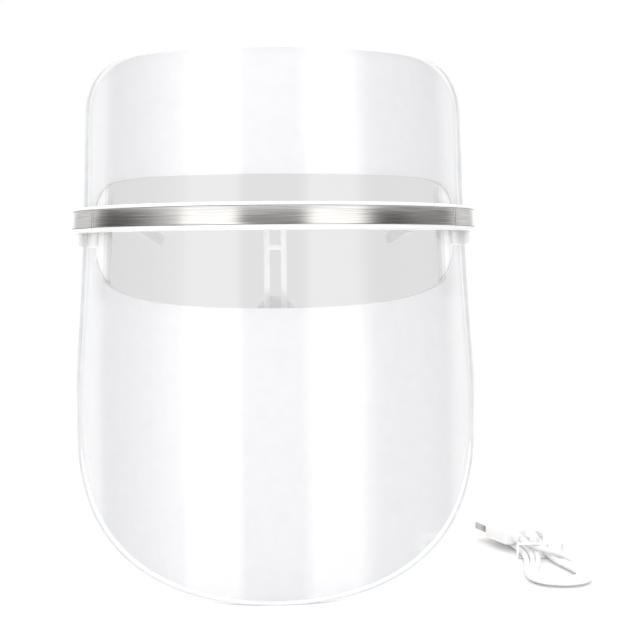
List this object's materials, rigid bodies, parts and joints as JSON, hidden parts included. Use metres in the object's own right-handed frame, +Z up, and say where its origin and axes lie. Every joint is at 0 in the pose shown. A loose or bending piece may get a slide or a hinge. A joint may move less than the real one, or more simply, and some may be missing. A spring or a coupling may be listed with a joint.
{
  "type": "led face mask",
  "caption": "Curved clear face shield with milky light films, a steel-trimmed brow bar, folding temples, a sliding nose rest and a charging lead.",
  "frame": {"origin": "where the bridge of the nose rests, at the middle height of the brow bar", "axes": "+Z up as worn, the wearer looks along -Y, +X towards the wearer's left"},
  "size_m": [0.2814, 0.1911, 0.2775],
  "materials": {
    "clear_polycarbonate": "moulded clear polycarbonate, polished",
    "milky_film": "milky light-spreading film",
    "brushed_steel": "brushed along its length",
    "screw_steel": "plated screws and pins",
    "board": "green glass-fibre circuit board",
    "lamp_board": "white circuit board",
    "cell_foil": "foil pouch of a lithium cell",
    "port_steel": "stamped sheet steel",
    "silicone": "translucent silicone",
    "pad_silicone": "grey translucent silicone",
    "cord_pvc": "white PVC-sheathed cord",
    "matt_white_abs": "fine-textured white ABS",
    "gloss_white_abs": "glossy white ABS"
  },
  "bodies": {
    "mask": {"shield": "clear_polycarbonate", "forehead_film": "milky_film", "cheek_film": "milky_film", "front_bar": "gloss_white_abs", "trim_strip": "brushed_steel", "trim_end_left": "brushed_steel", "trim_end_right": "brushed_steel", "lamp_carrier": "matt_white_abs", "lamp_strip_upper": "lamp_board", "lamp_strip_lower": "lamp_board", "control_board": "board", "battery_cell_left": "cell_foil", "battery_cell_right": "cell_foil", "clamp_screw_28_left": "screw_steel", "clamp_screw_28_right": "screw_steel", "clamp_screw_72_left": "screw_steel", "clamp_screw_72_right": "screw_steel", "clamp_screw_end_left": "screw_steel", "clamp_screw_end_right": "screw_steel", "side_plate_left": "gloss_white_abs", "side_plate_right": "gloss_white_abs", "end_block_left": "gloss_white_abs", "end_block_right": "gloss_white_abs", "port_board": "board", "usb_socket": "port_steel", "hinge_pin_left": "screw_steel", "hinge_pin_right": "screw_steel", "nose_bracket": "gloss_white_abs", "nose_screw_left": "screw_steel", "nose_screw_right": "screw_steel"},
    "temple_left": {"temple_left": "gloss_white_abs", "temple_sleeve_left": "silicone"},
    "temple_right": {"temple_right": "gloss_white_abs", "temple_sleeve_right": "silicone"},
    "nose_rest": {"nose_pad_carrier": "gloss_white_abs", "nose_pad": "pad_silicone"},
    "power_button": {"power_button": "matt_white_abs"},
    "charging_lead": {"lead_hank": "cord_pvc", "lead_tie": "cord_pvc", "lead_tail": "cord_pvc", "power_plug_grip": "gloss_white_abs", "power_plug_shell": "port_steel", "power_plug_tongue": "gloss_white_abs", "device_plug_grip": "gloss_white_abs", "device_plug_shell": "port_steel"}
  },
  "joints": [
    {"name": "temple_left_fold", "type": "hinge", "parent": "mask", "child": "temple_left", "pos_m": [0.10445, 0.05256, 0], "axis": [0, 0, 1], "range_deg": [0, 62]},
    {"name": "temple_right_fold", "type": "hinge", "parent": "mask", "child": "temple_right", "pos_m": [-0.10445, 0.05256, 0], "axis": [0, 0, -1], "range_deg": [0, 62]},
    {"name": "nose_rest_slide", "type": "slide", "parent": "mask", "child": "nose_rest", "axis": [0, -0.225, 0.9744], "range_m": [-0.005, 0.005]},
    {"name": "power_button_press", "type": "slide", "parent": "mask", "child": "power_button", "axis": [0, 0, -1], "range_m": [0, 0.0006], "stiffness_N_per_m": 1500, "springref_m": -0.0003},
    {"name": "charging_lead_lift", "type": "slide", "parent": "mask", "child": "charging_lead", "axis": [0, 0, 1], "range_m": [0, 0.15]}
  ]
}
